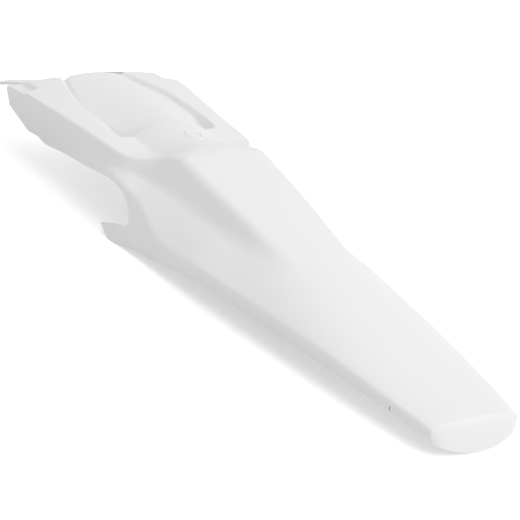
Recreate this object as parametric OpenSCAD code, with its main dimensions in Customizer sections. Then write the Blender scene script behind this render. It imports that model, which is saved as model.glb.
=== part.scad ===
// Rear fender of an off-road motorcycle: one moulded shell of even wall.
// X is across, +Y is towards the front, +Z is up. The part stands on its two hooks and its tail.
// Inside the file, y = 0 is the step where the deck starts and z = 0 is the ground.

/* [Wall] */
// Thickness of the moulded wall
wall = 2.5; // [2:0.1:3.2]

/* [Deck and tail] */
// Length from the step to the tail crease
tail_len = 400; // [330:5:440]
// Height of the deck at the step
deck_z = 99; // [92:1:106]
// Height of the deck at the tail crease
tail_z = 35; // [30:1:45]
// Width of the deck between its side creases, at the step
deck_w = 114; // [100:2:124]
// How far the deck crowns above its side creases
deck_crown = 2; // [1:0.5:4]
// Width of the tail at its crease
tail_w = 120; // [100:2:140]
// Depth of the side lip along the tail
lip_h = 12; // [9:1:15]
// Height of the side lip's lower edge along the tail
lip_z = 18; // [14:1:22]
// How far the tail end reaches behind its crease
end_len = 14; // [8:1:20]

/* [Seat zone] */
// Length from the step to the front edge of the rims
seat_len = 206; // [190:2:220]
// Width across the rims at the front
rim_front_w = 206; // [190:2:214]
// Width across the rims at the rear
rim_rear_w = 182; // [170:2:192]
// Height of the rims
rim_z = 78.5; // [74:0.5:82]
// Height of the dome's crest near the step
dome_z = 90; // [85:0.5:94]
// Height of the dome's crest at the front edge
dome_front_z = 81; // [78:0.5:84]
// Depth of the two grooves beside the dome
groove_d = 6; // [3:0.5:8]
// Length of the front tongues
tongue_len = 45; // [30:1:52]
// Width of the front tongues
tongue_w = 17; // [12:1:20]
// Distance between the tongues' centre lines
tongue_pitch = 150; // [140:1:154]

/* [Side wheel arch and hook] */
// Width across the hooks
hook_w = 216; // [200:2:228]
// Radius of the arch
arch_r = 29; // [24:1:32]
// Width across the lower edge in front of the arch
skirt_front_w = 184; // [174:2:194]

/* [Bolts] */
// Diameter of the two seat bolt holes
bolt_d = 6.5; // [5.5:0.5:8.5]
// Diameter of the boss under each bolt hole
boss_d = 16; // [13:1:20]
// Distance between the two bolt holes
bolt_pitch = 118; // [112:1:122]

/* [Hidden] */

function mix(a, b, t) = a + (b - a) * t;
function ease(a, b, y) = let (t = min(1, max(0, (y - a) / (b - a)))) t * t * (3 - 2 * t);

// Slope of a smooth curve through the knots k at knot i
function slope(k, i) =
  let (a = max(0, i - 1), b = min(len(k) - 1, i + 1))
  (k[b][1] - k[a][1]) / (k[b][0] - k[a][0]);

// Value at y of the smooth curve through the knots k, each a pair [y, value]
function rail(k, y, i = 0) =
  y <= k[0][0] ? k[0][1] :
  i >= len(k) - 1 ? k[len(k) - 1][1] :
  y > k[i + 1][0] ? rail(k, y, i + 1) :
  let (h = k[i + 1][0] - k[i][0], t = (y - k[i][0]) / h)
  k[i][1] * (2 * t ^ 3 - 3 * t ^ 2 + 1) + h * slope(k, i) * (t ^ 3 - 2 * t ^ 2 + t) +
  k[i + 1][1] * (3 * t ^ 2 - 2 * t ^ 3) + h * slope(k, i + 1) * (t ^ 3 - t ^ 2);

// Levels that the main sizes settle
hook_y = 17;
hook_tip_y = 33;
arch_y = 30;
arch_z = 28;
end_y = -tail_len - end_len;
tongue_tip_y = seat_len + tongue_len;
origin_y = (tongue_tip_y + end_y) / 2;

// How much the front of the seat zone droops at y
droop_y = seat_len - 6;
droop_run = 10;
droop_slope = 0.5;
function droop(y) =
  let (s = max(0, y - droop_y))
  s < droop_run ? droop_slope * s * s / (2 * droop_run) : droop_slope * (s - droop_run / 2);

// 0 in the seat zone, 1 on the deck: the step rises between these two
step_y = 26;
function deck(y) = 1 - ease(-3, step_y, y);
// 0 where the deck has scalloped sides, 1 where the tail is a plain arch
function arch(y) = 1 - ease(-240, -110, y);

// Centre line of the deck, and its side crease below the crown
function deck_line(y) = mix(deck_z, tail_z, -y / tail_len);

// Lip crease: half width and height
function crease_x(y) = rail([
  [-tail_len, tail_w / 2], [-200, hook_w / 2 - 24.5], [0, hook_w / 2 - 3], [30, hook_w / 2],
  [75, hook_w / 2 - 8], [125, skirt_front_w / 2], [260, skirt_front_w / 2]], y);
function crease_z(y) = rail([
  [-tail_len, lip_z + 9], [-300, lip_z + lip_h - 1], [-60, lip_z + lip_h + 1], [-34, 31], [-20, 41],
  [-5, 51], [10, 59], [28, 63.5], [50, 62.5], [104, 49], [180, 36], [260, 25]], y);

// Lower edge before the arch and the hook are cut out of it
function lower_z(y) = rail([
  [-tail_len, 15], [-375, 16], [-350, lip_z + 1], [-200, lip_z], [-110, lip_z], [-60, 12], [-20, 6],
  [hook_y, -1], [40, -4], [60, 30], [75, 46], [104, 39], [140, 32], [165, 30], [260, 18]], y);

// Outer crease of the rims, which sweeps in over the step to become the side crease of the deck
function edge_x(y) = rail([
  [-tail_len, 24], [-200, deck_w / 2 - 21], [-100, deck_w / 2 - 9], [0, deck_w / 2],
  [14, deck_w / 2 + 2], [28, deck_w / 2 + 7], [36, 76], [44, rim_rear_w / 2 - 4],
  [54, rim_rear_w / 2 + 1], [100, rim_rear_w / 2 + 7], [200, rim_front_w / 2 + 1], [260, rim_front_w / 2]], y);
function edge_z(y) =
  y < 0 ? deck_line(y) - deck_crown :
  rail([[0, deck_z - deck_crown], [12, 92], [28, rim_z + 3.5], [40, rim_z + 0.5], [60, rim_z],
        [100, rim_z - 0.5], [150, rim_z - 2], [200, rim_z - 4.5], [260, rim_z - 8]], y)
  - droop(y) - 4 * ease(seat_len - 10, seat_len + 6, y);

// Inner edge of the rims
function inner_x(y) = rail([
  [0, deck_w / 2 - 6], [30, 57], [60, 65], [100, 67], [135, 66], [160, 60], [185, 49], [205, 42]], y);
function inner_z(y) = rail([
  [30, rim_z - 1], [60, rim_z - 2], [100, rim_z + 0.5], [135, rim_z + 1.5], [160, rim_z + 3],
  [200, rim_z + 4]], y) - droop(y);

// Foot of the dome
function foot_x(y) = rail([
  [0, deck_w / 2 - 16], [40, 42], [70, 49], [100, 51], [135, 50], [160, 46], [185, 36], [205, 28]], y);
function foot_z(y) = rail([
  [30, rim_z], [60, rim_z - 1], [100, rim_z - 2], [150, rim_z - 2], [205, rim_z + 1]], y) - 0.6 * droop(y);

// Groove between the foot and the rim: how deep it runs at y
function groove(y) = groove_d * ease(70, 82, y) * (1 - ease(120, 172, y));

// Crest of the dome
function crest(y) =
  rail([[20, dome_z + 2.5], [50, dome_z], [120, (dome_z + dome_front_z) / 2], [205, dome_front_z]], y)
  - 0.5 * droop(y);

// The half section at y: corners as [x, z, setback], from the centre to the lower edge.
// A corner is rounded over its setback on both sides; the first one is the apex of the crown.
function corners(y) =
  let (
    d = deck(y),
    a = arch(y),
    ex = edge_x(y), ez = edge_z(y),
    cx = crease_x(y), cz = crease_z(y),
    dl = deck_line(y),
    // the deck, whose inner corners lie on the crown
    crown_at = function (x) dl - deck_crown * pow(x / ex, 2),
    fx = mix(foot_x(y), 0.5 * ex, d), ix = mix(inner_x(y), 0.8 * ex, d),
    gx = (fx + ix) / 2,
    fz = mix(foot_z(y), crown_at(fx), d),
    iz = mix(inner_z(y), crown_at(ix), d),
    gz = mix((foot_z(y) + inner_z(y)) / 2 - groove(y), crown_at(gx), d),
    top = mix(crest(y), dl, d),
    // the side wall: valley and ridge between the crease and the lip
    vx = rail([[-200, ex + 14], [-100, ex + 9], [-34, ex + 8], [0, ex + 13], [30, 84], [50, ex + 4],
               [100, mix(ex, cx, 0.35)]], y),
    vz = rail([[-200, mix(ez, cz, 0.35)], [-100, mix(ez, cz, 0.5)], [-34, 60], [0, 62], [30, 63], [50, 66],
               [100, mix(ez, cz, 0.4)]], y),
    rx = rail([[-200, mix(vx, cx, 0.5)], [-34, 70], [0, 90], [30, 97], [50, 101], [100, mix(ex, cx, 0.7)]], y),
    rz = rail([[-200, mix(vz, cz, 0.4)], [-34, 56], [0, 60.5], [30, 64], [50, 64.5], [100, mix(ez, cz, 0.72)]], y),
    // a plain arch of the tail
    rise = dl - cz,
    on_arch = function (x) dl - rise * pow(x / cx, 2.8)
  )
  [
    [0, 2 * top - fz, 0],
    [fx, mix(fz, on_arch(fx), a), 6],
    [gx, mix(gz, on_arch(gx), a), 3],
    [ix, mix(iz, on_arch(ix), a), 3],
    [ex, mix(ez, on_arch(ex), a), mix(4, 12, max(d, a))],
    [vx, mix(vz, on_arch(vx), a), 10],
    [rx, mix(rz, on_arch(rx), a), 8],
    [cx, cz, 4],
    [cx - 1, lower_z(y), 0]
  ];

function unit(v) = v / norm(v);

// Points on the first half of the crown, from the centre line to the end of the flank
crown_steps = 3;
function crown_points(apex, foot, setback) =
  let (e = foot + unit(apex - foot) * setback)
  [for (k = [0:crown_steps - 1]) let (t = 0.5 + 0.5 * k / crown_steps)
    [(t * t - (1 - t) * (1 - t)) * e[0], (t * t + (1 - t) * (1 - t)) * e[1] + 2 * t * (1 - t) * apex[1]]];

// Three points round the corner p between its neighbours a and b
function corner_points(a, p, b, setback) =
  let (s = min(setback, 0.48 * norm(a - p), 0.48 * norm(b - p)),
       f = p + unit(a - p) * s, g = p + unit(b - p) * s)
  [f, (f + 2 * p + g) / 4, g];

function flat(c) = [c[0], c[1]];

// Right half of the section at y, as points from the centre line to the lower edge
function half_section(y) =
  let (c = corners(y), n = len(c) - 1, p = [for (q = c) flat(q)],
       s = min(c[1][2], 0.48 * norm(p[2] - p[1])))
  concat(
    crown_points(p[0], p[1], s),
    [for (i = [1:n - 1]) each corner_points(p[i - 1], p[i], p[i + 1], c[i][2])],
    [p[n]]);

function full_section(y) =
  let (h = half_section(y), n = len(h))
  concat([for (i = [n - 1:-1:1]) [-h[i][0], h[i][1]]], h);

// Stations along the length; the tail end is drawn by end_steps rows behind the first one
end_steps = 5;
stations = concat(
  [for (y = [-tail_len:30:-70]) y], [for (y = [-48:12:-12]) y], [for (y = [-4:5:56]) y],
  [for (y = [66:13:196]) y], [for (y = [205:16:253]) y]);

// A point of the tail end, t from 0 at the crease to 1 at its lower edge
function end_point(q, t) =
  let (s = min(1, abs(q[0]) / (tail_w / 2)), zb = 15 * s * s,
       reach = 1.5 + (end_len - 1.5) * sqrt(1 - 0.98 * s * s),
       fall = (q[1] - zb) * (1 - 0.25 * pow(s, 8)))
  [q[0] * (1 - 0.03 * t * s), -tail_len - reach * pow(t, 0.85), q[1] - fall * pow(t, 1.25)];

outer = concat(
  [for (k = [end_steps:-1:1]) [for (q = full_section(-tail_len)) end_point(q, k / end_steps)]],
  [for (y = stations) [for (q = full_section(y)) [q[0], y, q[1]]]]);

rows = len(outer);
cols = len(outer[0]);

// Outward direction of the surface at row i and column j
function outward(i, j) =
  unit(cross(outer[i][min(cols - 1, j + 1)] - outer[i][max(0, j - 1)],
             outer[min(rows - 1, i + 1)][j] - outer[max(0, i - 1)][j]));

inner = [for (i = [0:rows - 1]) [for (j = [0:cols - 1]) outer[i][j] - wall * outward(i, j)]];

// Two triangles for the four corners of a patch
function patch(a, b, c, d) = [[a, b, c], [a, c, d]];

module shell() {
  n = rows * cols;
  points = concat([for (r = outer) each r], [for (r = inner) each r]);
  at = function (i, j) i * cols + j;
  faces = concat(
    [for (i = [0:rows - 2], j = [0:cols - 2]) each patch(at(i, j), at(i + 1, j), at(i + 1, j + 1), at(i, j + 1))],
    [for (i = [0:rows - 2], j = [0:cols - 2])
      each patch(n + at(i, j), n + at(i, j + 1), n + at(i + 1, j + 1), n + at(i + 1, j))],
    [for (i = [0:rows - 2], j = [0, cols - 1]) let (k = j == 0)
      each k ? patch(at(i, j), n + at(i, j), n + at(i + 1, j), at(i + 1, j))
             : patch(at(i, j), at(i + 1, j), n + at(i + 1, j), n + at(i, j))],
    [for (j = [0:cols - 2], i = [0, rows - 1]) let (k = i == 0)
      each k ? patch(at(i, j), at(i, j + 1), n + at(i, j + 1), n + at(i, j))
             : patch(at(i, j), n + at(i, j), n + at(i, j + 1), at(i, j + 1))]);
  polyhedron(points, faces, convexity = 6);
}

// Points on an arc
function arc(cy, cz, r, from, to, steps) =
  [for (k = [0:steps]) let (a = mix(from, to, k / steps)) [cy + r * cos(a), cz + r * sin(a)]];

// What is cut away in side view: below the ground, in front of the hook, the arch, and below the side wall
module side_cut() {
  outline = concat(
    [[end_y - 20, -40], [end_y - 20, 0], [hook_y, 0], [hook_tip_y, 11], [10, 20.5]],
    arc(7.5, 27, 6.5, 260, 190, 4),
    arc(arch_y, arch_z, arch_r, 178, 72, 12),
    [[54, 53.8], [92, 44.8], [148, 33.5], [156, 34], [163, 35.8], [178, 33.5], [223, 55],
     [262, 38], [262, -40]]);
  rotate([90, 0, 90]) linear_extrude(height = 300, center = true) polygon(outline);
}

// What is cut away in plan, in front of the rims, the tongues and the ledges
module front_cut() {
  t0 = tongue_pitch / 2 - tongue_w / 2;
  t1 = tongue_pitch / 2 + tongue_w / 2;
  outline = [
    [-1, seat_len - 3], [30, seat_len - 3], [38, seat_len - 12], [48, seat_len - 12],
    [58, seat_len], [t0, seat_len + 1], [t0, tongue_tip_y - 5], [t0 + 4, tongue_tip_y],
    [t1 - 5, tongue_tip_y - 1], [t1, tongue_tip_y - 8], [t1, seat_len - 6], [t1 + 4, seat_len - 4],
    [t1 + 4, seat_len + 12], [120, seat_len + 12], [120, 300], [-1, 300]];
  for (s = [0, 1]) mirror([s, 0, 0])
    translate([0, 0, -10]) linear_extrude(height = 140) polygon(outline);
}

// Bosses under the two seat bolts, in the ends of the grooves
bolt_y = 80;
boss_top = 71;
boss_h = 12;
module at_bolts() {
  for (s = [-1, 1]) translate([s * bolt_pitch / 2, bolt_y, 0]) children();
}

module rear_fender() {
  color("white")
  translate([0, -origin_y, 0])
  difference() {
    union() {
      shell();
      at_bolts() translate([0, 0, boss_top - boss_h]) cylinder(d = boss_d, h = boss_h, $fn = 48);
    }
    side_cut();
    front_cut();
    at_bolts() translate([0, 0, boss_top - boss_h - 5]) cylinder(d = bolt_d, h = boss_h + 30, $fn = 48);
  }
}

rear_fender();
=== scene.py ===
import math
import bmesh
import bpy
import numpy as np
from mathutils import Matrix, Vector


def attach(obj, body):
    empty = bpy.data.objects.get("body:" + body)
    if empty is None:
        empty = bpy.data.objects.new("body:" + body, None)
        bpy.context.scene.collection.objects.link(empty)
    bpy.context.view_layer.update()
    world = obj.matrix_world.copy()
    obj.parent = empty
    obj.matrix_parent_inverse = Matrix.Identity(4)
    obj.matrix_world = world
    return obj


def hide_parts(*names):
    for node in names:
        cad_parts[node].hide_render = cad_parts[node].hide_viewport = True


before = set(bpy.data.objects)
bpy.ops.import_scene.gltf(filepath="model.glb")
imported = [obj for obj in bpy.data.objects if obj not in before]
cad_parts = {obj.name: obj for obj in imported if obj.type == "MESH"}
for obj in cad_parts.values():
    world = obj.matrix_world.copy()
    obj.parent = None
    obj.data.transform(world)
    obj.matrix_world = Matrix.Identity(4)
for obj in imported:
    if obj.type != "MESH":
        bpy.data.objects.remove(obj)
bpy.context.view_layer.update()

# The rear fender of an off-road motorcycle: one moulded shell of even wall.
# Sizes are in millimetres. x is the distance from the middle, y = 0 is the step where the deck starts,
# and z = 0 is the ground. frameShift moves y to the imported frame.
millimetre = 0.001
frameShift = 81.5

# The fender's sizes. "high" is a height over the ground, "wide" the whole width over both sides, and a
# place is a y. The tail's "end" and "corner" are how far its end reaches back in the middle and at the
# corners, "low" is the height of that edge and "rise" how much higher its corners are. "pocket" is how
# many times deeper the groove is where it starts.
wall = 2.5
deck = {"length": 400, "high": 99, "wide": 114, "crown": 2}
tail = {"high": 35, "wide": 126, "end": 14, "corner": 1, "low": 2.5, "rise": 12.5}
lip = {"low": 18, "deep": 12}
seat = {"length": 206}
rim = {"high": 78.5, "rearWide": 182, "frontWide": 206}
dome = {"high": 90, "frontHigh": 81}
groove = {"deep": 6, "start": 75.5, "pocket": 1.6}
hook = {"wide": 216, "front": 17, "tip": 35}
skirt = {"wide": 184}
tongue = {"length": 45, "wide": 17, "pitch": 150}
tongue["tip"] = seat["length"] + tongue["length"]
shelf = {"blend": 3.5, "drop": 6.5, "slope": 0.13, "inset": 4}
shelf["place"] = seat["length"] - 21
shelf["wide"] = tongue["pitch"] / 2 + tongue["wide"] / 2 + 4.5

# How fine the mesh is: points round a corner, inside a straight run and over half the crown, rows round
# the tail's end, points round a hole, and points along the ring and round its section
fine = {"corner": 7, "run": 3, "crown": 12, "end": 12, "hole": 64, "ring": 72, "bead": 16}
# Rows along y: from, to, step. They are closest where the shape changes most.
rowSteps = [[-deck["length"], -60, 4], [-60, 118, 1.5], [118, 181, 3], [181, 190, 0.9], [190, 256, 2.5]]


# From a to b as t goes from 0 to 1
def mix(a, b, t):
    return a + (b - a) * t


# From 0 at a to 1 at b, level at both: 3t^2 - 2t^3
def ease(a, b, y):
    t = np.clip((y - a) / (b - a), 0, 1)
    return t * t * (3 - 2 * t)


# Smooth curve through knots [y, value]: a cubic on each stretch, whose slope at a knot is that of the
# line between the knot's two neighbours. It keeps the end values outside the knots.
def rail(knots, y):
    ky = [k[0] for k in knots]
    kv = [np.broadcast_to(np.asarray(k[1], float), y.shape) for k in knots]
    last = len(ky) - 1
    out = np.array(kv[0])
    for i in range(last):
        a, b = max(0, i - 1), min(last, i + 2)
        h = ky[i + 1] - ky[i]
        t = np.clip((y - ky[i]) / h, 0, 1)
        startSlope = (kv[i + 1] - kv[a]) / (ky[i + 1] - ky[a])
        endSlope = (kv[b] - kv[i]) / (ky[b] - ky[i])
        value = (
            kv[i] * (2 * t**3 - 3 * t**2 + 1) + h * startSlope * (t**3 - 2 * t**2 + t)
            + kv[i + 1] * (3 * t**2 - 2 * t**3) + h * endSlope * (t**3 - t**2)
        )
        out = np.where(y >= ky[i], value, out)
    return out


# The front falls away to the tongues: a parabola for 10 mm, then a straight slope of one half
def droop(y):
    s = np.maximum(0, y - (seat["length"] - 10))
    return np.where(s < 10, s * s / 40, 0.5 * (s - 5))


# The deck's centre line falls faster behind the middle and levels out towards the tail
def deckZ(y):
    return rail([
        [-deck["length"], tail["high"] - 2], [-350, 37.5], [-300, 45], [-250, 54.5], [-200, 64.5],
        [-150, 73.5], [-100, 82.5], [-60, deck["high"] - 9.5], [0, deck["high"]],
    ], y)


# The crease, where the upper side turns down to the lip: it swells out and up over the hook
def creaseX(y):
    half = hook["wide"] / 2
    return rail([
        [-deck["length"], tail["wide"] / 2], [-340, half - 34.5], [-270, half - 24], [-200, half - 16.5],
        [-100, half - 7.5], [-60, half - 7.5], [-34, half - 6], [-15, half - 9.5], [3, half - 12.5],
        [20, half - 13.5], [38, half - 11.8], [56, half - 10.5], [78, half - 10.5],
        [125, skirt["wide"] / 2], [260, skirt["wide"] / 2],
    ], y)


def creaseZ(y):
    top = lip["low"] + lip["deep"]
    return rail([
        [-deck["length"], top - 4.5], [-375, top - 1.5], [-340, top + 1], [-270, top + 4.5],
        [-200, top + 5.5], [-100, top + 4], [-60, top + 0.5], [-34, 33], [-15, 41], [3, 48.5], [20, 52.5],
        [38, 55.5], [56, 58], [77, 55], [104, 49], [180, 36], [260, 25],
    ], y)


# The lower edge stands a little further out than the crease round the hook, as a moulding's draft does
def lowerX(y, cx):
    half = hook["wide"] / 2
    return rail([
        [-deck["length"], cx - 1], [-100, cx - 1], [-60, half - 7.5], [-20, half - 5.4], [0, half - 4],
        [17, half - 1.8], [32, half - 0.5], [50, half - 4], [75, half - 9], [125, cx - 1],
    ], y)


# From the hook on, the lower edge hangs below the outline that the side cutter leaves
def lowerZ(y):
    low = lip["low"]
    return rail([
        [-deck["length"], low], [-375, low], [-350, low + 1.5], [-270, low + 3], [-200, low + 2.5],
        [-110, low + 1.5], [-60, 12], [-20, 6], [hook["front"], -1], [40, -4], [60, 30], [75, 46],
        [104, 39], [140, 32], [165, 30], [260, 18],
    ], y)


# The edge of the deck, and in front of the step the outer edge of the rim
def edgeX(y):
    half, rear, front = deck["wide"] / 2, rim["rearWide"] / 2, rim["frontWide"] / 2
    return rail([
        [-deck["length"], 24], [-200, half - 19], [-100, half - 6.5], [-40, half - 1], [0, half + 0.5],
        [14, half + 2], [28, half + 8], [36, rear - 14], [44, rear - 4], [54, rear + 0.5],
        [100, rear + 5.5], [150, front + 1], [175, front + 3], [205, front + 1],
    ], y)


def edgeZ(y, deckLine):
    high = rim["high"]
    front = rail([
        [0, deck["high"] - deck["crown"]], [12, 92], [28, high + 3.5], [40, high + 0.5], [60, high],
        [100, high - 0.5], [150, high - 1], [175, high - 2], [205, high - 4.5], [260, high - 8],
    ], y)
    return np.where(y < 0, deckLine - deck["crown"], front - droop(y))


# The rim's inner edge, which comes forward from the step round the end of the groove
def rimInner(y):
    high = rim["high"]
    x = rail([
        [0, deck["wide"] / 2 - 6], [30, 57], [60, 67], [85, 69.5], [107, 70], [131, 68.5], [152, 65.5],
        [181, 53], [205, 42],
    ], y)
    z = rail([
        [0, deck["high"] - 3], [12, 93.5], [20, 89], [28, 83.5], [36, 79.5], [48, high - 1.2],
        [60, high - 0.5], [88, high + 1.5], [135, high + 2.5], [160, high + 3], [205, high + 1.5],
    ], y)
    return x, z - droop(y)


# How deep the groove is under the rim's inner edge: it starts in a pocket and is shallow at the front
def grooveDip(y):
    start, front = ease(groove["start"], groove["start"] + 11, y), ease(185, 205, y)
    return groove["deep"] * start * mix(groove["pocket"], 1, ease(96, 116, y)) * (1 - 0.45 * front)


# The dome's foot, on the other side of the groove
def domeFoot(y, innerZ):
    x = rail([
        [30, 48], [60, 50.5], [80, 50], [96, 52], [112, 55], [131, 56], [152, 55], [181, 44], [205, 33],
    ], y)
    rise = rail([[0, 0.5], [26, 0.5], [40, 0.5], [60, -0.5], [90, -2], [150, -2], [190, 0]], y)
    return x, innerZ - 0.4 * grooveDip(y) + rise


# The dome's centre line, from the step to the front edge
def domeCrest(y):
    high, front = dome["high"], dome["frontHigh"]
    return rail([
        [0, deck["high"]], [14, high + 8], [30, high + 5], [50, high + 3.5], [90, high + 2.5],
        [130, high - 1.5], [170, front + 3], [205, front],
    ], y) - 0.5 * droop(y)


# The valley in the side wall between the edge (ex, ez) and the crease (cx, cz). It is deepest beside
# the deck, and fades into the plain wall at the front.
def valley(y, ex, ez, cx, cz):
    x = rail([
        [-200, ex + 14], [-100, ex + 9], [-34, ex + 9.5], [0, 69.5], [20, 71.5], [30, 76], [40, 85],
        [50, 92], [60, 95], [100, mix(ex, cx, 0.35)], [170, mix(ex, cx, 0.08)],
    ], y)
    z = rail([
        [-200, mix(ez, cz, 0.32)], [-100, 60], [-34, 64], [0, 63], [20, 61], [30, 62], [40, 65.5],
        [50, 64.5], [60, 61], [100, mix(ez, cz, 0.6)], [170, mix(ez, cz, 0.08)],
    ], y)
    return x, z


# The ridge between the valley (vx, vz) and the crease
def ridge(y, ex, ez, cx, cz, vx, vz):
    x = rail([
        [0, mix(vx, cx, 0.5)], [20, 83], [36, 87], [50, 94], [100, mix(ex, cx, 0.7)],
        [170, mix(ex, cx, 0.2)],
    ], y)
    z = rail([
        [-200, mix(vz, cz, 0.5)], [-100, 48.5], [-34, 50.5], [0, 57.5], [20, 57.5], [36, 60.5],
        [50, 61.5], [100, mix(ez, cz, 0.8)], [170, mix(ez, cz, 0.2)],
    ], y)
    return x, z


# The half section at every y: corners [x, z, setback] from the centre to the lower edge. They are the
# crown's top, the dome's foot f, the groove's floor p and q, the rim's inner edge i, the edge a, the
# valley b, the ridge s, the crease c and the lower edge. The seat's section gives way to the deck's
# behind the step, to a plain arch over the tail, and to a level shelf beside the tongues.
def corners(y):
    onDeck = 1 - ease(-3, 14, y)
    onTail = 1 - ease(-215, -105, y)
    onShelf = ease(shelf["place"] - shelf["blend"], shelf["place"] + shelf["blend"], y)[:, None]
    deckLine = deckZ(y)
    ex, ez = edgeX(y), edgeZ(y, deckLine)
    cx, cz = creaseX(y), creaseZ(y)
    vx, vz = valley(y, ex, ez, cx, cz)
    rx, rz = ridge(y, ex, ez, cx, cz, vx, vz)
    innerX, innerZ = rimInner(y)
    footX, footZ = domeFoot(y, innerZ)

    # The deck's crown: a parabola that falls by deck["crown"] from the centre to the edge
    def crownAt(x):
        return deckLine - deck["crown"] * (x / ex) ** 2

    # The tail's arch: z = deck - rise * (x / half width) ^ square
    def onArch(x):
        square = rail([[-deck["length"], 5], [-300, 3.6], [-200, 2.8]], y)
        return deckLine - (deckLine - cz) * (x / cx) ** square

    # The groove's floor starts narrow about its middle line, and widens with the root of its share
    wide = np.sqrt(mix(0.05, 1, ease(groove["start"], groove["start"] + 14, y)))
    middle, floor = (footX + innerX) / 2, innerZ - grooveDip(y)
    fx, fz = mix(footX, 0.2 * ex, onDeck), mix(footZ, crownAt(0.2 * ex), onDeck)
    px = mix(mix(middle, footX + 2, wide), 0.4 * ex, onDeck)
    qx = mix(mix(middle, innerX - 3.5, wide), 0.5 * ex, onDeck)
    pz, qz = mix(floor, crownAt(px), onDeck), mix(floor, crownAt(qx), onDeck)
    ix = mix(innerX, 0.65 * ex, onDeck)
    iz = mix(innerZ, crownAt(ix), onDeck)
    top = mix(domeCrest(y), deckLine, onDeck)
    ax, bx, sx = mix(ex, 0.4 * cx, onTail), mix(vx, 0.64 * cx, onTail), mix(rx, 0.84 * cx, onTail)

    # The tongue's outer edge lies on the rim, and the shelf falls gently forward
    tx = shelf["wide"] - shelf["inset"]
    tz = mix(iz, ez, (tx - ix) / (ex - ix))
    shelfHigh = rim["high"] - shelf["drop"] - shelf["slope"] * (y - shelf["place"])
    edgeSoft = rail([[-150, 12], [-60, 10], [0, 8], [26, 4]], y)
    valleySoft = rail([[-200, 20], [-110, 9], [0, 6], [60, 6], [100, 20]], y)
    lipSoft = rail([[-340, 9], [-150, 4]], y)

    def plain(x, z, setback):
        return np.stack(np.broadcast_arrays(x, z, setback, y)[:3], axis=1)

    def corner(x, z, setback):
        return plain(x, mix(z, onArch(x), onTail), setback)

    return [
        plain(0, 2 * top - fz, 0),
        corner(fx, fz, 6),
        corner(px, pz, 2),
        corner(qx, qz, 1.5),
        corner(ix, iz, 2.5),
        mix(corner(ax, ez, edgeSoft), plain(tx, tz, edgeSoft), onShelf),
        mix(corner(bx, vz, valleySoft), plain(shelf["wide"], shelfHigh, 2), onShelf),
        mix(corner(sx, rz, 20), plain(rim["frontWide"] / 2 + 1, shelfHigh, 3), onShelf),
        plain(cx, cz, lipSoft),
        plain(lowerX(y, cx), lowerZ(y), 0),
    ]


# Rounds the corners. A rounded corner is (1-t)^2 f + 2t(1-t) p + t^2 g, with f and g the setback away
# from the corner p on its two sides; the crown is the same curve across the centre line.
def halfSection(y):
    c = corners(y)
    p = [q[:, :2] for q in c]

    def toward(a, b, setback):
        d = b - a
        return a + d / np.linalg.norm(d, axis=1, keepdims=True) * setback

    def arc(f, m, g, t):
        t = t[None, :, None]
        return (1 - t) ** 2 * f[:, None] + 2 * t * (1 - t) * m[:, None] + t**2 * g[:, None]

    def line(f, g, count):
        t = np.linspace(0, 1, count + 2)[None, 1:-1, None]
        return (1 - t) * f[:, None] + t * g[:, None]

    strips = []
    previous = None
    for i in range(1, len(p) - 1):
        back = np.linalg.norm(p[i] - p[i - 1], axis=1)
        ahead = np.linalg.norm(p[i] - p[i + 1], axis=1)
        s = np.minimum(c[i][:, 2], 0.48 * np.minimum(back, ahead))[:, None]
        f, g = toward(p[i], p[i - 1], s), toward(p[i], p[i + 1], s)
        if previous is None:
            mirrored = f * [-1, 1]
            strips.append(arc(mirrored, p[0], f, np.linspace(0.5, 1, fine["crown"], endpoint=False)))
        else:
            strips.append(line(previous, f, fine["run"]))
        strips.append(arc(f, p[i], g, np.linspace(0, 1, fine["corner"])))
        previous = g
    strips.append(line(previous, p[-1], fine["run"]))
    strips.append(p[-1][:, None])
    return np.concatenate(strips, axis=1)


# The tail's end, rows from the far edge to the last section. As t goes from 0 to 1, the section goes
# back by reach, which is longest in the middle (root of 1 - s^2, with s the share of the half width),
# and down to an edge that rises with the square of s to its corners.
def tailEnd(section):
    t = np.linspace(1, 0, fine["end"], endpoint=False)[:, None]
    x, z = section[:, 0][None], section[:, 1][None]
    s = np.minimum(1, np.abs(x) / (tail["wide"] / 2))
    aboveLip = np.clip((z - lip["low"] + 1) / lip["deep"], 0, 1)
    reach = tail["corner"] + (tail["end"] - tail["corner"]) * np.sqrt(1 - 0.97 * s * s)
    reach = reach * mix(0.25, 1, aboveLip)
    fall = z - tail["low"] - tail["rise"] * s * s
    points = [x * (1 - 0.03 * t * s), -deck["length"] - reach * t**0.85, z - fall * t**1.25]
    return np.stack(points, axis=2)


# The outer surface as a grid of points: rows along y, columns from the left lower edge to the right
def outerGrid():
    y = np.unique(np.concatenate([np.arange(*steps) for steps in rowSteps]))
    half = halfSection(y)
    section = np.concatenate([half[:, :0:-1] * [-1, 1], half], axis=1)
    ys = np.broadcast_to(y[:, None], section.shape[:2])
    rows = np.stack([section[..., 0], ys, section[..., 1]], axis=2)
    return np.concatenate([tailEnd(section[0]), rows], axis=0)


# The normal at a grid point is the cross product of the steps across and along, each taken between
# the point's two neighbours
def normals(grid):
    across = np.empty_like(grid)
    across[:, 1:-1] = grid[:, 2:] - grid[:, :-2]
    across[:, 0], across[:, -1] = grid[:, 1] - grid[:, 0], grid[:, -1] - grid[:, -2]
    along = np.empty_like(grid)
    along[1:-1] = grid[2:] - grid[:-2]
    along[0], along[-1] = grid[1] - grid[0], grid[-1] - grid[-2]
    n = np.cross(across, along)
    return n / np.linalg.norm(n, axis=2, keepdims=True)


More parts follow.
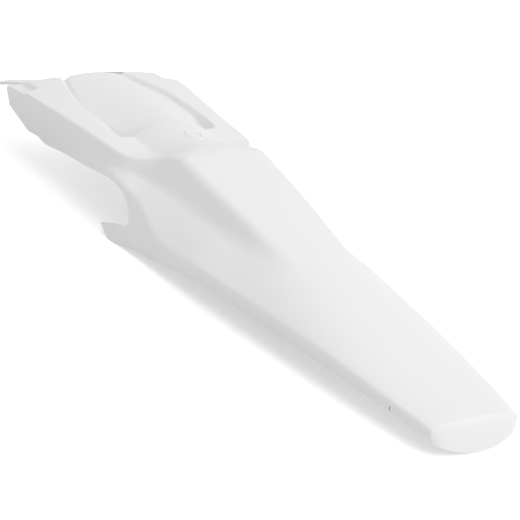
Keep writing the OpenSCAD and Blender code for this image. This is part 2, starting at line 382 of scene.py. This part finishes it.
# Each direction averaged with its neighbours, so that the inner surface doesn't fold at tight corners
def evened(n, passes=3):
    for _ in range(passes):
        wide = np.pad(n, ((1, 1), (1, 1), (0, 0)), mode="edge")
        n = 2 * n + wide[:-2, 1:-1] + wide[2:, 1:-1] + wide[1:-1, :-2] + wide[1:-1, 2:]
        n = n / np.linalg.norm(n, axis=2, keepdims=True)
    return n


# Points in millimetres, with y from the step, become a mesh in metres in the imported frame
def meshObject(name, points, faces):
    points = np.asarray(points, float).reshape(-1, 3) + [0, frameShift, 0]
    mesh = bpy.data.meshes.new(name)
    mesh.from_pydata((points * millimetre).tolist(), [], faces)
    mesh.update()
    thing = bpy.data.objects.new(name, mesh)
    bpy.context.scene.collection.objects.link(thing)
    return thing


# A closed shell: the outer grid, the same grid one wall further in, and strips that join their borders
def shell():
    outer = outerGrid()
    inner = outer - wall * evened(normals(outer))
    rows, cols = outer.shape[:2]
    n = np.arange(rows * cols).reshape(rows, cols)
    u = n + rows * cols

    def quads(a, b, c, d):
        return np.stack([a.ravel(), b.ravel(), c.ravel(), d.ravel()], axis=1)

    faces = np.concatenate([
        quads(n[:-1, :-1], n[:-1, 1:], n[1:, 1:], n[1:, :-1]),
        quads(u[:-1, :-1], u[1:, :-1], u[1:, 1:], u[:-1, 1:]),
        quads(n[:-1, 0], n[1:, 0], u[1:, 0], u[:-1, 0]),
        quads(n[:-1, -1], u[:-1, -1], u[1:, -1], n[1:, -1]),
        quads(n[0, :-1], u[0, :-1], u[0, 1:], n[0, 1:]),
        quads(n[-1, :-1], n[-1, 1:], u[-1, 1:], u[-1, :-1]),
    ])
    points = np.concatenate([outer.reshape(-1, 3), inner.reshape(-1, 3)])
    return meshObject("rearFender", points, faces.tolist())


# An outline whose corners [a, b, radius] are rounded by the sections' curve, with the radius as its
# setback; radius 0 keeps a corner sharp
def rounded(points, steps=8):
    out = []
    t = np.linspace(0, 1, steps)[:, None]
    for i, (a, b, r) in enumerate(points):
        here = np.array([a, b], float)
        if r == 0:
            out.append(here[None])
            continue
        before = np.array(points[i - 1][:2], float) - here
        after = np.array(points[(i + 1) % len(points)][:2], float) - here
        f = here + before / np.linalg.norm(before) * min(r, 0.48 * np.linalg.norm(before))
        g = here + after / np.linalg.norm(after) * min(r, 0.48 * np.linalg.norm(after))
        out.append((1 - t) ** 2 * f + 2 * t * (1 - t) * here + t * t * g)
    return np.concatenate(out)


# A prism over an outline: place maps (a, b, height) to a point, low and high are its two ends
def prism(name, outline, place, low, high):
    a, b = np.asarray(outline, float).T
    ends = [np.stack(np.broadcast_arrays(*place(a, b, h)), axis=1) for h in (low, high)]
    n = np.arange(len(a))
    after = np.roll(n, -1)
    sides = np.stack([n, after, after + len(a), n + len(a)], axis=1).tolist()
    faces = [n[::-1].tolist(), (n + len(a)).tolist()] + sides
    return meshObject(name, np.concatenate(ends), faces)


# How far the cutters reach past the shell
past = {"side": 150, "back": -440, "front": 300, "under": -40, "top": 130}


# Cuts the lower side to its outline: the flat foot and the hook, the arch over the wheel, the small
# scallop in front of it and the rise to the front edge
def sideCutter():
    foot = [[hook["front"], 0, 0], [hook["tip"], 9.5, 1.5], [21, 15.5, 8], [3.8, 20.5, 4]]
    arch = [[4.6, 29, 8], [19, 44.5, 20], [42, 52.5, 20], [66, 49.6, 14], [92, 44.8, 10]]
    scallop = [[148, 33.5, 3], [156, 34, 2], [163, 35.8, 2], [178, 33.5, 4]]
    front = [[223, 55, 0], [262, 38, 0], [262, past["under"], 0]]
    start = [[past["back"], past["under"], 0], [past["back"], 0, 0]]
    outline = rounded(start + foot + arch + scallop + front)
    return prism("sideCutter", outline, lambda a, b, h: (h, a, b), -past["side"], past["side"])


# Cuts the front edge, seen from above: the notch in the middle, the tongue and the shelf's end
def frontCutter(side):
    low, high = (tongue["pitch"] - tongue["wide"]) / 2, (tongue["pitch"] + tongue["wide"]) / 2
    edge, tip, outer = seat["length"], tongue["tip"], shelf["wide"] + 8
    outline = rounded([
        [-1, edge - 3, 0], [30, edge - 3, 3], [36, edge - 6, 3], [46, edge - 6, 3], [54, edge, 3],
        [low, edge + 1, 1.5], [low, tip - 4, 0], [low + 3, tip, 3], [high - 5, tip - 1, 2],
        [high, tip - 8, 4], [high, edge + 6, 1.5], [outer, edge + 6, 0], [outer, edge + 16, 0],
        [120, edge + 16, 0], [120, past["front"], 0], [-1, past["front"], 0],
    ])
    return prism("frontCutter", outline, lambda a, b, h: (side * a, b, h), past["under"], past["top"])


# Rakes the front corner, seen from the side
def rakeCutter(side):
    edge = seat["length"]
    outline = rounded([
        [edge + 6, 80, 0], [edge + 6, 62, 2], [edge + 3, 54, 4], [edge + 1, 46, 0], [edge + 1, 30, 0],
        [past["front"], 30, 0], [past["front"], 80, 0],
    ])
    return prism("rakeCutter", outline, lambda a, b, h: (side * h, a, b), shelf["wide"] - 2, past["side"])


# "from" and "to" are how far to the side the slot starts and ends
slot = {"y": -352, "wide": 1.4, "high": 7.5, "from": tail["wide"] / 2 - 6, "to": tail["wide"] / 2 + 24}


# A thin upright slot through the lip near the tail
def slotCutter(side):
    low, high = slot["y"] - slot["wide"] / 2, slot["y"] + slot["wide"] / 2
    top = lip["low"] + slot["high"]
    outline = [[low, -1], [high, -1], [high, top], [low, top]]
    return prism("slotCutter", outline, lambda a, b, h: (side * h, a, b), slot["from"], slot["to"])


ring = {"y": 44.5, "radius": 9, "half": 1.6, "high": 1.5}


# A ring that stands on the dome: its oval section (half cos, high sin) is turned about its centre.
# The dome is the crown's curve, 0.5 (low (1 + u^2) + apex (1 - u^2)) at the share u of the foot's x.
def ringBead():
    turn = np.linspace(0, 2 * math.pi, fine["ring"], endpoint=False)[:, None]
    tilt = np.linspace(0, 2 * math.pi, fine["bead"], endpoint=False)[None]
    reach = ring["radius"] + ring["half"] * np.cos(tilt)
    x, y = reach * np.cos(turn), ring["y"] + reach * np.sin(turn)
    top, foot = corners(y.ravel())[:2]
    apex, wide, low = (v.reshape(x.shape) for v in (top[:, 1], foot[:, 0], foot[:, 1]))
    u = x / wide
    under = 0.5 * (low * (1 + u * u) + apex * (1 - u * u))
    points = np.stack([x, y, under + ring["high"] * np.sin(tilt)], axis=2)
    n = np.arange(x.size).reshape(x.shape)
    after = np.roll(n, -1, 0)
    faces = np.stack([n, after, np.roll(after, -1, 1), np.roll(n, -1, 1)], axis=2).reshape(-1, 4)
    return meshObject("ring", points, faces.tolist())


# The boss goes from the mouth up to the top, inside the shell, and the bore goes on past it
bolt = {"wide": 6.5, "pitch": 118, "place": 80, "boss": 16, "top": 68, "mouth": 59, "past": 12}


# An upright cylinder at a bolt's place
def boltCylinder(name, side, radius, low, high):
    a = np.linspace(0, 2 * math.pi, fine["hole"], endpoint=False)
    outline = np.stack([radius * np.cos(a), radius * np.sin(a)], axis=1)
    x, y = side * bolt["pitch"] / 2, bolt["place"]
    return prism(name, outline, lambda u, v, h: (x + u, y + v, h), low, high)


# Turns every face of a closed mesh outwards
def outward(thing):
    work = bmesh.new()
    work.from_mesh(thing.data)
    bmesh.ops.recalc_face_normals(work, faces=work.faces)
    work.to_mesh(thing.data)
    work.free()


# Joins the others to the thing, or cuts them from it, one after another
def combine(thing, others, operation):
    for other in others:
        outward(other)
        change = thing.modifiers.new("cut", "BOOLEAN")
        change.operation, change.object, change.solver = operation, other, "MANIFOLD"
        bpy.context.view_layer.update()
        shown = thing.evaluated_get(bpy.context.evaluated_depsgraph_get())
        done = bpy.data.meshes.new_from_object(shown)
        thing.modifiers.clear()
        thing.data = done
        bpy.data.objects.remove(other)


finish = {
    "colour": (0.86, 0.86, 0.86, 1), "roughness": 0.5, "ior": 1.45,
    "grainScale": 90, "grainDetail": 3, "grainStrength": 0.05, "grainHigh": 0.0005, "sharpAngle": 32,
}


# Plain white moulded plastic, half glossy, with a very fine even grain
def plastic():
    material = bpy.data.materials.new("whitePlastic")
    material.use_nodes = True
    nodes, links = material.node_tree.nodes, material.node_tree.links
    shader = nodes["Principled BSDF"]
    shader.inputs["Base Color"].default_value = finish["colour"]
    shader.inputs["Roughness"].default_value = finish["roughness"]
    shader.inputs["IOR"].default_value = finish["ior"]
    place = nodes.new("ShaderNodeTexCoord")
    grain = nodes.new("ShaderNodeTexNoise")
    grain.inputs["Scale"].default_value = finish["grainScale"]
    grain.inputs["Detail"].default_value = finish["grainDetail"]
    links.new(place.outputs["Object"], grain.inputs["Vector"])
    bump = nodes.new("ShaderNodeBump")
    bump.inputs["Strength"].default_value = finish["grainStrength"]
    bump.inputs["Distance"].default_value = finish["grainHigh"]
    links.new(grain.outputs["Fac"], bump.inputs["Height"])
    links.new(bump.outputs["Normal"], shader.inputs["Normal"])
    return material


print("stage: shell")
fender = shell()
outward(fender)
print("stage: trims")
sides = (-1, 1)
bosses = [boltCylinder("boss", side, bolt["boss"] / 2, bolt["mouth"], bolt["top"]) for side in sides]
combine(fender, bosses + [ringBead()], "UNION")
cutters = [sideCutter()]
for side in sides:
    cutters += [frontCutter(side), rakeCutter(side), slotCutter(side)]
boreEnd = bolt["top"] + bolt["past"]
cutters += [boltCylinder("bore", side, bolt["wide"] / 2, bolt["mouth"] - 1, boreEnd) for side in sides]
combine(fender, cutters, "DIFFERENCE")
outward(fender)
fender.data.materials.clear()
fender.data.materials.append(plastic())
fender.data.set_sharp_from_angle(angle=math.radians(finish["sharpAngle"]))
polygons = fender.data.polygons
polygons.foreach_set("use_smooth", np.ones(len(polygons), dtype=bool))
cornerCount = np.empty(len(polygons), dtype=np.int32)
polygons.foreach_get("loop_total", cornerCount)
print("triangles", int((cornerCount - 2).sum()))
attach(fender, "root")
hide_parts("rear_fender")

print("stage: studio")
studio = {
    "floor": (0.9, 0.9, 0.9), "floorSize": 6.0, "floorLift": 0.45, "floorRoughness": 0.9, "floorShine": 0.1,
    "sky": (1.0, 1.0, 1.0), "skyStrength": 0.6,
    "keyPlace": (1.45, -2.05, 1.8), "keySize": 2.4, "keyPower": 27,
    "topPlace": (0.0, 0.0, 2.5), "topSize": 3.0, "topPower": 17,
    "aim": (0.0, 0.0, 0.05),
}


# 1 for the rays that see a background directly, in a mirror or through glass, and 0 for those that light
def seenRay(tree):
    path = tree.nodes.new("ShaderNodeLightPath")
    value = path.outputs["Is Camera Ray"]
    for name in ("Is Glossy Ray", "Is Transmission Ray"):
        most = tree.nodes.new("ShaderNodeMath")
        most.operation = "MAXIMUM"
        tree.links.new(value, most.inputs[0])
        tree.links.new(path.outputs[name], most.inputs[1])
        value = most.outputs[0]
    return value


# From low to high as the value goes from 0 to 1
def blended(tree, value, low, high):
    mixing = tree.nodes.new("ShaderNodeMapRange")
    tree.links.new(value, mixing.inputs["Value"])
    mixing.inputs["To Min"].default_value = low
    mixing.inputs["To Max"].default_value = high
    return mixing.outputs["Result"]


# A square sheet on the ground
def floorSheet():
    half = studio["floorSize"] / 2
    border = [(-half, -half, 0), (half, -half, 0), (half, half, 0), (-half, half, 0)]
    mesh = bpy.data.meshes.new("floor")
    mesh.from_pydata(border, [], [(0, 1, 2, 3)])
    sheet = bpy.data.objects.new("floor", mesh)
    bpy.context.scene.collection.objects.link(sheet)
    material = bpy.data.materials.new("floor")
    material.use_nodes = True
    tree = material.node_tree
    shader = tree.nodes["Principled BSDF"]
    shader.inputs["Base Color"].default_value = (*studio["floor"], 1)
    shader.inputs["Roughness"].default_value = studio["floorRoughness"]
    shader.inputs["Specular IOR Level"].default_value = studio["floorShine"]
    # a little plain light that only the camera sees turns the pale floor white and keeps its shadow
    shader.inputs["Emission Color"].default_value = (1, 1, 1, 1)
    lift = blended(tree, seenRay(tree), 0, studio["floorLift"])
    tree.links.new(lift, shader.inputs["Emission Strength"])
    mesh.materials.append(material)
    return sheet


# A round lamp that faces the fender; name is also the start of its settings' names
def areaLamp(name):
    light = bpy.data.lights.new(name, "AREA")
    light.shape = "DISK"
    light.size = studio[name + "Size"]
    light.energy = studio[name + "Power"]
    lamp = bpy.data.objects.new(name, light)
    lamp.location = studio[name + "Place"]
    aim = Vector(studio["aim"]) - Vector(studio[name + "Place"])
    lamp.rotation_mode = "QUATERNION"
    lamp.rotation_quaternion = aim.to_track_quat("-Z", "Y")
    bpy.context.scene.collection.objects.link(lamp)


# The sky lights softly, and is plain white where it is seen
def whiteSky():
    world = bpy.data.worlds.new("sky")
    bpy.context.scene.world = world
    world.use_nodes = True
    tree = world.node_tree
    sky = tree.nodes["Background"]
    sky.inputs["Color"].default_value = (*studio["sky"], 1)
    strength = blended(tree, seenRay(tree), studio["skyStrength"], 1)
    tree.links.new(strength, sky.inputs["Strength"])


# The camera's turn, distance and lens come from a fit to the photo. Angles are in degrees.
view = {
    "azimuth": -51.03, "elevation": 24.42, "roll": 19.35, "pitch": 0.525,
    "offset": (-44.42, -81.61, 4010.6), "pivot": 69.04, "lensPixels": 4026, "pixels": 520, "sensor": 36,
}


# Turns by azimuth and elevation, then by roll about the line of sight, then by pitch about x.
# The point at the pivot's height over the step is seen at the offset along right, down and forward.
def placeCamera():
    a, e, r = (math.radians(view[k]) for k in ("azimuth", "elevation", "roll"))
    back = Vector((math.sin(a) * math.cos(e), -math.cos(a) * math.cos(e), math.sin(e)))
    right = Vector((math.cos(a), math.sin(a), 0))
    up = back.cross(right)
    turnedRight = math.cos(r) * right + math.sin(r) * up
    turnedUp = -math.sin(r) * right + math.cos(r) * up
    axes = Matrix((turnedRight, turnedUp, back)).transposed()
    tilt = Matrix.Rotation(math.radians(view["pitch"]), 3, "X")
    x, y, z = view["offset"]
    eye = tilt @ axes @ Vector((-x, y, z)) + Vector((0, frameShift, view["pivot"]))
    camera = bpy.data.objects.new("camera", bpy.data.cameras.new("camera"))
    camera.data.sensor_width = view["sensor"]
    camera.data.lens = view["lensPixels"] * view["sensor"] / view["pixels"]
    camera.data.clip_end = 100
    camera.rotation_mode = "QUATERNION"
    camera.rotation_quaternion = (tilt @ axes).to_quaternion()
    camera.location = eye * millimetre
    bpy.context.scene.collection.objects.link(camera)
    bpy.context.scene.camera = camera


floorSheet()
areaLamp("key")
areaLamp("top")
whiteSky()
placeCamera()
bpy.context.scene.view_settings.view_transform = "Standard"

print("stage: finish")
